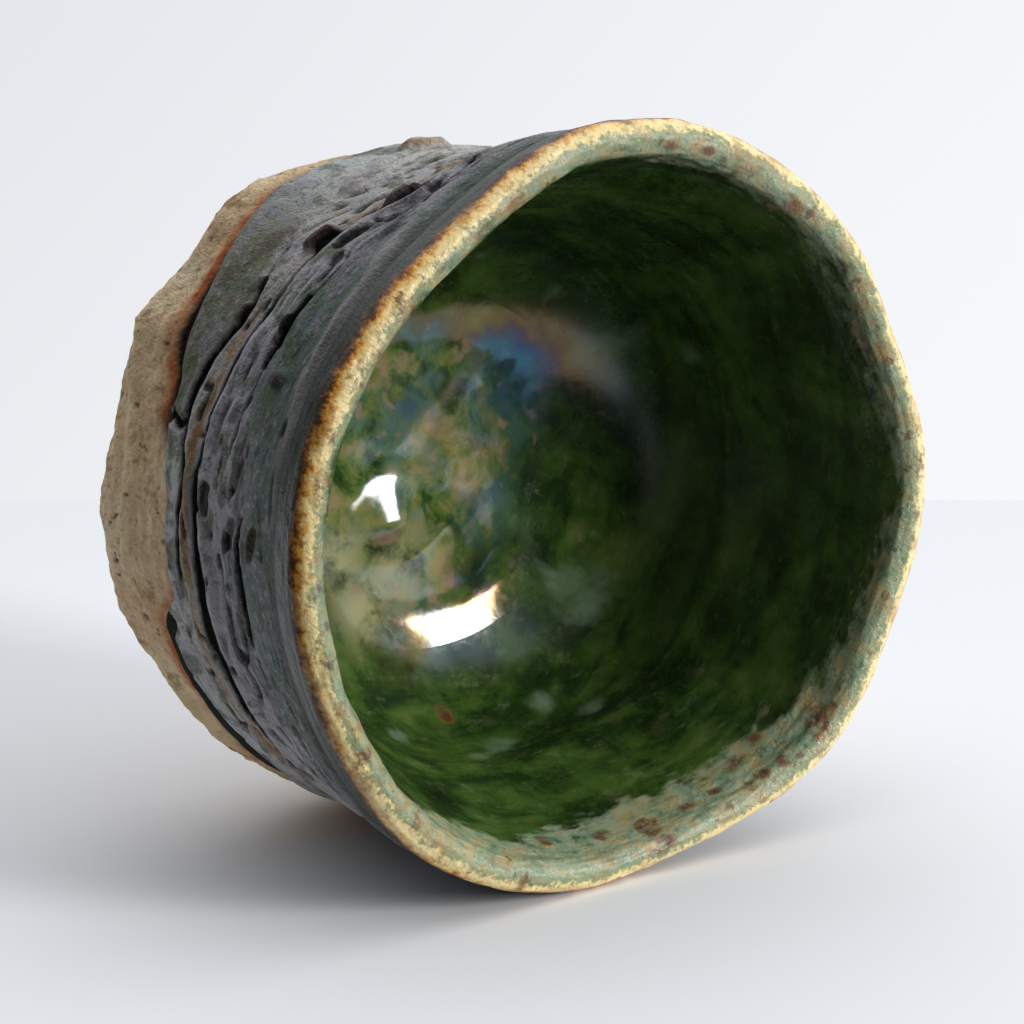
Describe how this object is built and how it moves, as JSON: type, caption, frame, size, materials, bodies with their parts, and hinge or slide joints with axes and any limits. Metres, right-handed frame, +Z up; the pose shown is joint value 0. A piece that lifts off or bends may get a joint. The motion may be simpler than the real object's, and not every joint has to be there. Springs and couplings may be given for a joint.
{
  "type": "sake cup",
  "caption": "Small hand-made stoneware sake cup with a wide mouth, lapped bands of grey-green glaze, an amber lip, a glassy green inside and a low foot ring.",
  "frame": {"origin": "middle of the foot's resting face", "axes": "+Z up, out of the mouth; X and Y across the cup"},
  "size_m": [0.0634, 0.0641, 0.0426],
  "materials": {
    "bare_clay": "unglazed, rough",
    "grey_blue_glaze": "satin glaze",
    "ochre_glaze": "thin satin glaze",
    "grey_green_glaze": "satin glaze over torn clay",
    "teal_glaze": "satin glaze",
    "amber_glaze": "gloss glaze",
    "bottle_green_glaze": "clear gloss glaze",
    "deep_green_glaze": "clear gloss glaze"
  },
  "bodies": {
    "root": {"clay_body": "bare_clay", "foot_ring": "bare_clay", "glaze_edge_band": "grey_blue_glaze", "ledge_band": "ochre_glaze", "torn_band": "grey_green_glaze", "neck_band": "teal_glaze", "lip_glaze": "amber_glaze", "inner_glaze": "bottle_green_glaze", "glaze_pool": "deep_green_glaze"}
  },
  "joints": []
}
